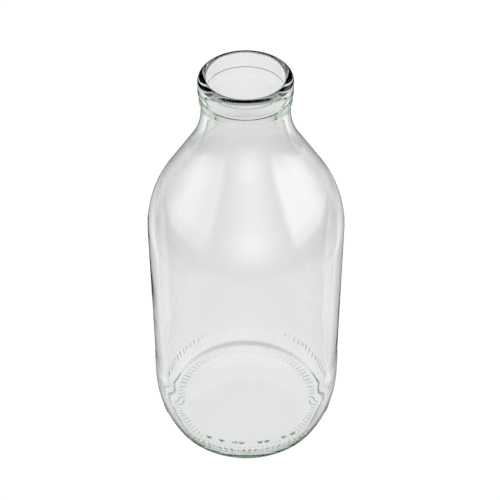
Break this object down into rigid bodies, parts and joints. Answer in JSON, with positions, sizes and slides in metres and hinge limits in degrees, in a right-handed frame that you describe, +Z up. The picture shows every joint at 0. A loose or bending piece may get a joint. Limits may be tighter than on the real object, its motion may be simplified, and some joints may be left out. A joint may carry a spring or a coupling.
{
  "type": "glass milk bottle",
  "caption": "Clear glass dairy bottle with a rounded heel, straight body, sloping shoulder, short neck and a rolled lip over an open mouth.",
  "frame": {"origin": "centre of the bearing ring, on the plane that the bottle stands on", "axes": "+Z up along the bottle's axis to the lip; the bottle is round, and X lies across its mould seams"},
  "size_m": [0.0796, 0.0796, 0.179],
  "materials": {
    "clear_glass": "clear, smooth, fire-polished, very faint green where the glass is thick"
  },
  "bodies": {
    "root": {"glass_bottle": "clear_glass"}
  },
  "joints": []
}
